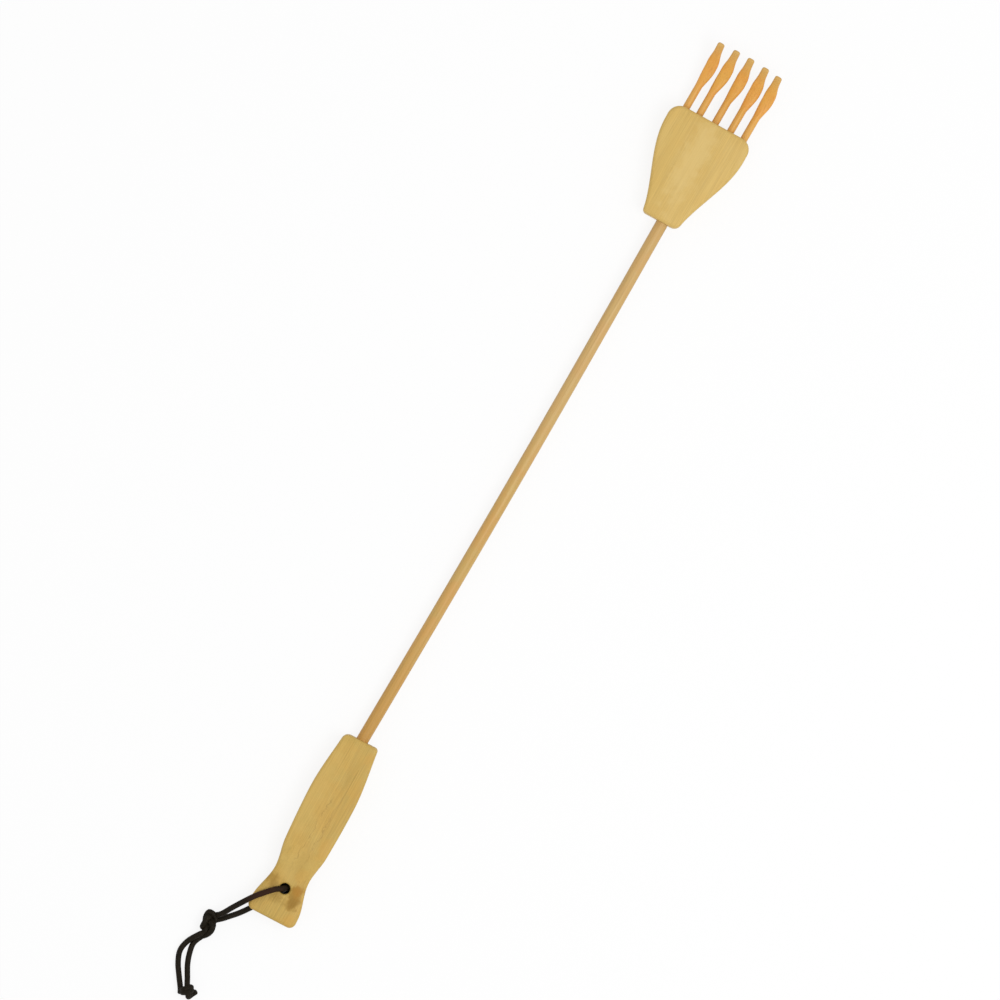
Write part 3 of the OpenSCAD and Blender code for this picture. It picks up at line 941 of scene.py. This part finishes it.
def tineRing(run):
    # middle, half width, half thickness, bend and squareness of a tine at a distance along it, mm
    setup = tineSetup
    bend = max(0, (run - setup["curlFrom"])/curlR)
    root, rootEnd, bladeAt = setup["rootD"], setup["widensFrom"], setup["bladeAt"]
    widths = [
        (rootEnd, root), (bladeAt, setup["bladeW"]), (bladeAt + setup["bladeLength"], setup["bladeW"]),
        (setup["fingerAt"], setup["fingerW"]), (tineLength, setup["tipW"])]
    thicks = [(rootEnd, root), (bladeAt, setup["bladeT"]), (tineLength, setup["tipT"])]
    shifts = [
        (rootEnd, 0), (bladeAt, -setup["bladeShift"]), (setup["fingerAt"], 0),
        (tineLength, setup["tipShift"])]
    squares = list(zip((setup["squareFrom"], bladeAt, tineLength), setup["squareness"]))
    ending = drawnIn(tineLength - run, setup["tipRound"])
    middle = Vector((
        min(run, setup["curlFrom"]) + curlR*math.sin(bend),
        smoothAt(shifts, run),
        curlR*(1 - math.cos(bend))))
    halfW = smoothAt(widths, run)/2 - ending
    halfT = smoothAt(thicks, run)/2 - setup["tipThinning"]*ending
    return middle, halfW, halfT, bend, smoothAt(squares, run)


def tineRuns():
    # places of the rings along a tine: the peg, the root, the blade and the rounded tip
    setup = tineSetup
    peg = [-setup["pegDepth"], -setup["pegDepth"] + setup["pegEnd"][0]]
    start, end = setup["bladeRingsFrom"], tineLength - setup["tipRound"]
    blade = [start + (end - start)*k/setup["bladeRings"] for k in range(setup["bladeRings"])]
    tip = [end + setup["tipRound"]*math.sin(math.radians(angle)) for angle in setup["tipAngles"]]
    return peg + [*setup["rootRings"]] + blade + tip


def makeTine(index, material):
    bm = bmesh.new()
    onCircle = bm.verts.layers.float_vector.new("onCircle")
    firstRing = ring = startRing(bm, onCircle, tineSetup["sides"])
    base = tineRoot(index)
    ownCut = Vector((-tineSetup["short"][index - 1], tineSetup["lean"][index - 1], 0))
    for i, run in enumerate(tineRuns()):
        middle, halfW, halfT, bend, square = tineRing(run)
        middle += ownCut*max(0, (run - tineSetup["curlFrom"])/(tineLength - tineSetup["curlFrom"]))
        if i:
            ring = pullRing(bm, ring)
        else:
            halfW, halfT = halfW - tineSetup["pegEnd"][1], halfT - tineSetup["pegEnd"][1]
        for v in ring:
            c, s = v[onCircle].x, v[onCircle].y
            across = halfW*math.copysign(abs(c)**(2/square), c)
            over = halfT*math.copysign(abs(s)**(2/square), s)
            v.co = base + (middle + Vector((-over*math.sin(bend), across, over*math.cos(bend))))*mm
    closeEnds(bm, firstRing, ring)
    bm.verts.layers.float_vector.remove(onCircle)
    finishPiece(
        f"tine_{index}_carved", bm, material, "scratcher", f"tine_{index}",
        tineSetup["smoothAngle"])


middleTine = (tineSetup["count"] + 1)//2
tineMaterial = makeBambooMaterial("tineBamboo", tineSetup["bamboo"], tineRoot(middleTine).x)
for index in range(1, tineSetup["count"] + 1):
    makeTine(index, tineMaterial)
print("tines carved:", tineSetup["count"])


# rod

rodSetup = {
    "diameter": 6,
    "bevel": 0.6,
    "bevelSteps": 2,
    "sides": 40,
    "rings": 48,
    "bow": 0.85,                # natural bow to one side, mm
    "smoothAngle": 35,
    "bamboo": {
        "pale": (0.620, 0.418, 0.140),
        "deep": (0.525, 0.322, 0.085),
        "line": (0.360, 0.200, 0.055),
        "lines": 0.30,
        "blotch": (0.610, 0.330, 0.092),
        "blotches": 0.8,
        "amber": (0.530, 0.280, 0.058),
        "rose": (0.630, 0.420, 0.175),
        "bands": [(-60, -140, "amber", 0.8), (-20, 60, "rose", 0.5)],
        "stretch": (7.0, 420.0, 420.0),
        "wave": 0.3,
        "roughness": (0.50, 0.39),
        "shine": 0.35,
        "bump": 0.04,
    },
}


def makeRod():
    r = rodSetup["diameter"]/2*mm
    length = rodHigh.x - rodLow.x
    bm = bmesh.new()
    bmesh.ops.create_cone(
        bm, cap_ends=True, segments=rodSetup["sides"], radius1=r, radius2=r, depth=length)
    rims = [e for e in bm.edges if abs(e.verts[0].co.z - e.verts[1].co.z) < length/2]
    bmesh.ops.bevel(
        bm, geom=rims, offset=rodSetup["bevel"]*mm, offset_type="OFFSET",
        segments=rodSetup["bevelSteps"], profile=0.5, affect="EDGES", material=-1)
    longEdges = [e for e in bm.edges if abs(e.verts[0].co.z - e.verts[1].co.z) > length/2]
    bmesh.ops.subdivide_edges(bm, edges=longEdges, cuts=rodSetup["rings"])
    aim = Matrix.Rotation(math.pi/2, 4, "Y")
    bmesh.ops.transform(bm, matrix=Matrix.Translation(rodMiddle) @ aim, verts=bm.verts)
    start = rodLow.x + handleSetup["rodInHandle"]*mm
    for v in bm.verts:
        share = clamped((v.co.x - start)/(neckPlace.x - start))
        v.co.y -= rodSetup["bow"]*mm*math.sin(math.pi*share)
    bamboo = makeBambooMaterial("rodBamboo", rodSetup["bamboo"], 0)
    finishPiece("rod_stick", bm, bamboo, "scratcher", "rod", rodSetup["smoothAngle"])


makeRod()
print("rod turned")


# floor, world and lamp

stageSetup = {
    "floor": 0.95,
    "floorWhite": 0.86,         # share of plain white that the camera sees on the floor
    "floorRoughness": 0.9,
    "floorShine": 0.1,
    "floorHalf": 3.0,           # half the floor's side, m
    "floorDrop": 0.2,           # the floor lies this far under the object, mm
    "shade": 4.5,               # reach of the painted shade on the floor under the hole of the cord, mm
    "world": 0.66,
    "keyPlace": (0.04, -0.52, 1.27),
    "keySize": 0.7,
    "keyPower": 7.5,
}


def seenDirectly(tree):
    # the camera, gloss and glass see the stage as plain white
    path = tree.nodes.new("ShaderNodeLightPath")
    seen = mathNode(tree, "MAXIMUM", path.outputs["Is Camera Ray"], path.outputs["Is Glossy Ray"])
    return mathNode(tree, "MAXIMUM", seen, path.outputs["Is Transmission Ray"])


def makeWorld():
    world = bpy.data.worlds.new("studio")
    world.use_nodes = True
    scene.world = world
    tree = world.node_tree
    background = tree.nodes["Background"]
    background.inputs["Color"].default_value = (1, 1, 1, 1)
    strength = rangeNode(tree, seenDirectly(tree), 0.0, 1.0, stageSetup["world"], 1.0)
    tree.links.new(strength, background.inputs["Strength"])


def makeFloorMaterial():
    # matt floor that keeps the shadow, with plain white mixed in where it is seen, and painted shade
    # under the hole of the cord
    material, tree, shader, place = newMaterial("floor", stageSetup["floorShine"])
    shader.inputs["Roughness"].default_value = stageSetup["floorRoughness"]
    reach = Vector((1, 1, 10))*stageSetup["shade"]*mm
    # painted shade: under the hole the floor's colour goes dark and the plain white is left out
    under = placeGroup(tree, smudge, Place=place, Middle=holePlace, Reach=reach, Uneven=0.0, Full=0.6)
    outsidePaintedShade = mathNode(tree, "SUBTRACT", 1.0, under["Mask"])
    seen = mathNode(tree, "MULTIPLY", seenDirectly(tree), stageSetup["floorWhite"])
    white = tree.nodes.new("ShaderNodeEmission")
    mix = tree.nodes.new("ShaderNodeMixShader")
    tree.links.new(mathNode(tree, "MULTIPLY", outsidePaintedShade, stageSetup["floor"]), shader.inputs["Base Color"])
    tree.links.new(mathNode(tree, "MULTIPLY", seen, outsidePaintedShade), mix.inputs["Fac"])
    tree.links.new(shader.outputs["BSDF"], mix.inputs[1])
    tree.links.new(white.outputs["Emission"], mix.inputs[2])
    tree.links.new(mix.outputs["Shader"], tree.nodes["Material Output"].inputs["Surface"])
    return material


def makeStage():
    makeWorld()
    key = bpy.data.lights.new("key", "AREA")
    key.energy = stageSetup["keyPower"]
    key.size = stageSetup["keySize"]
    lamp = bpy.data.objects.new("key", key)
    lamp.location = stageSetup["keyPlace"]
    lamp.rotation_euler = (-lamp.location).to_track_quat("-Z", "Y").to_euler()
    scene.collection.objects.link(lamp)

    bm = bmesh.new()
    bmesh.ops.create_grid(bm, x_segments=1, y_segments=1, size=stageSetup["floorHalf"])
    bmesh.ops.translate(bm, verts=bm.verts, vec=(0, 0, -stageSetup["floorDrop"]*mm))
    floor = meshObject("floor", bm)
    floor.data.materials.append(makeFloorMaterial())


makeStage()
print("stage lit")
